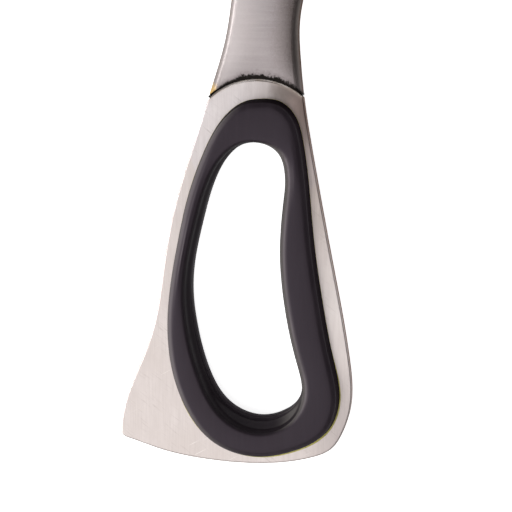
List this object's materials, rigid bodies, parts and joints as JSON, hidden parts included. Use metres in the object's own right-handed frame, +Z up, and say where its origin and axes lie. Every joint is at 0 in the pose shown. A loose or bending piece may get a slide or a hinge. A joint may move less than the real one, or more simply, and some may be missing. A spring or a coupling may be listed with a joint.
{
  "type": "fabric shears",
  "caption": "Right-handed dressmaking shears: pivoted steel blades on flared plate handles, with padded black finger and thumb bows, lying part open.",
  "frame": {"origin": "pivot axis at the closed underside of the tension nut, which is the surface the shears lie on", "axes": "+Z up along the pivot axis; +Y along the closed centre line of the finger half from handles to blade tips; +X to the right, away from the finger bow"},
  "size_m": [0.2371, 0.2766, 0.0131],
  "materials": {
    "blade_steel": "ground and satin polished",
    "handle_steel": "fine brushed, welded on",
    "weld": "heat-blackened weld",
    "grip_black": "satin moulded",
    "pin_nylon": "moulded nylon",
    "bolt_steel": "turned, bright",
    "washer_brass": "turned brass",
    "bush_bronze": "sintered bronze",
    "slide_nylon": "smooth nylon",
    "spring_steel": "blued spring steel",
    "nut_steel": "fluted, machined",
    "stop_rubber": "moulded rubber"
  },
  "bodies": {
    "finger_half": {"finger_blade": "blade_steel", "finger_handle_frame": "handle_steel", "finger_weld_seam": "weld", "finger_grip_front": "grip_black", "finger_grip_back": "grip_black", "finger_grip_pins": "pin_nylon", "pivot_bolt": "bolt_steel", "head_washer": "washer_brass"},
    "thumb_half": {"thumb_blade": "blade_steel", "thumb_handle_frame": "handle_steel", "thumb_weld_seam": "weld", "thumb_grip_front": "grip_black", "thumb_grip_back": "grip_black", "thumb_grip_pins": "pin_nylon", "pivot_bush": "bush_bronze", "thrust_washer": "bush_bronze", "glide_washer": "slide_nylon", "stop_bumper": "stop_rubber"},
    "tension_nut": {"tension_nut": "nut_steel", "nut_lock_ring": "slide_nylon", "spring_washer": "spring_steel"}
  },
  "joints": [
    {"name": "blade_pivot", "type": "hinge", "parent": "finger_half", "child": "thumb_half", "pos_m": [0, 0, 0.00725], "axis": [0, 0, 1], "range_deg": [-54, 10]},
    {"name": "tension_nut_turn", "type": "hinge", "parent": "finger_half", "child": "tension_nut", "pos_m": [0, 0, 0.0015], "axis": [0, 0, 1], "range_deg": [-45, 45]}
  ]
}
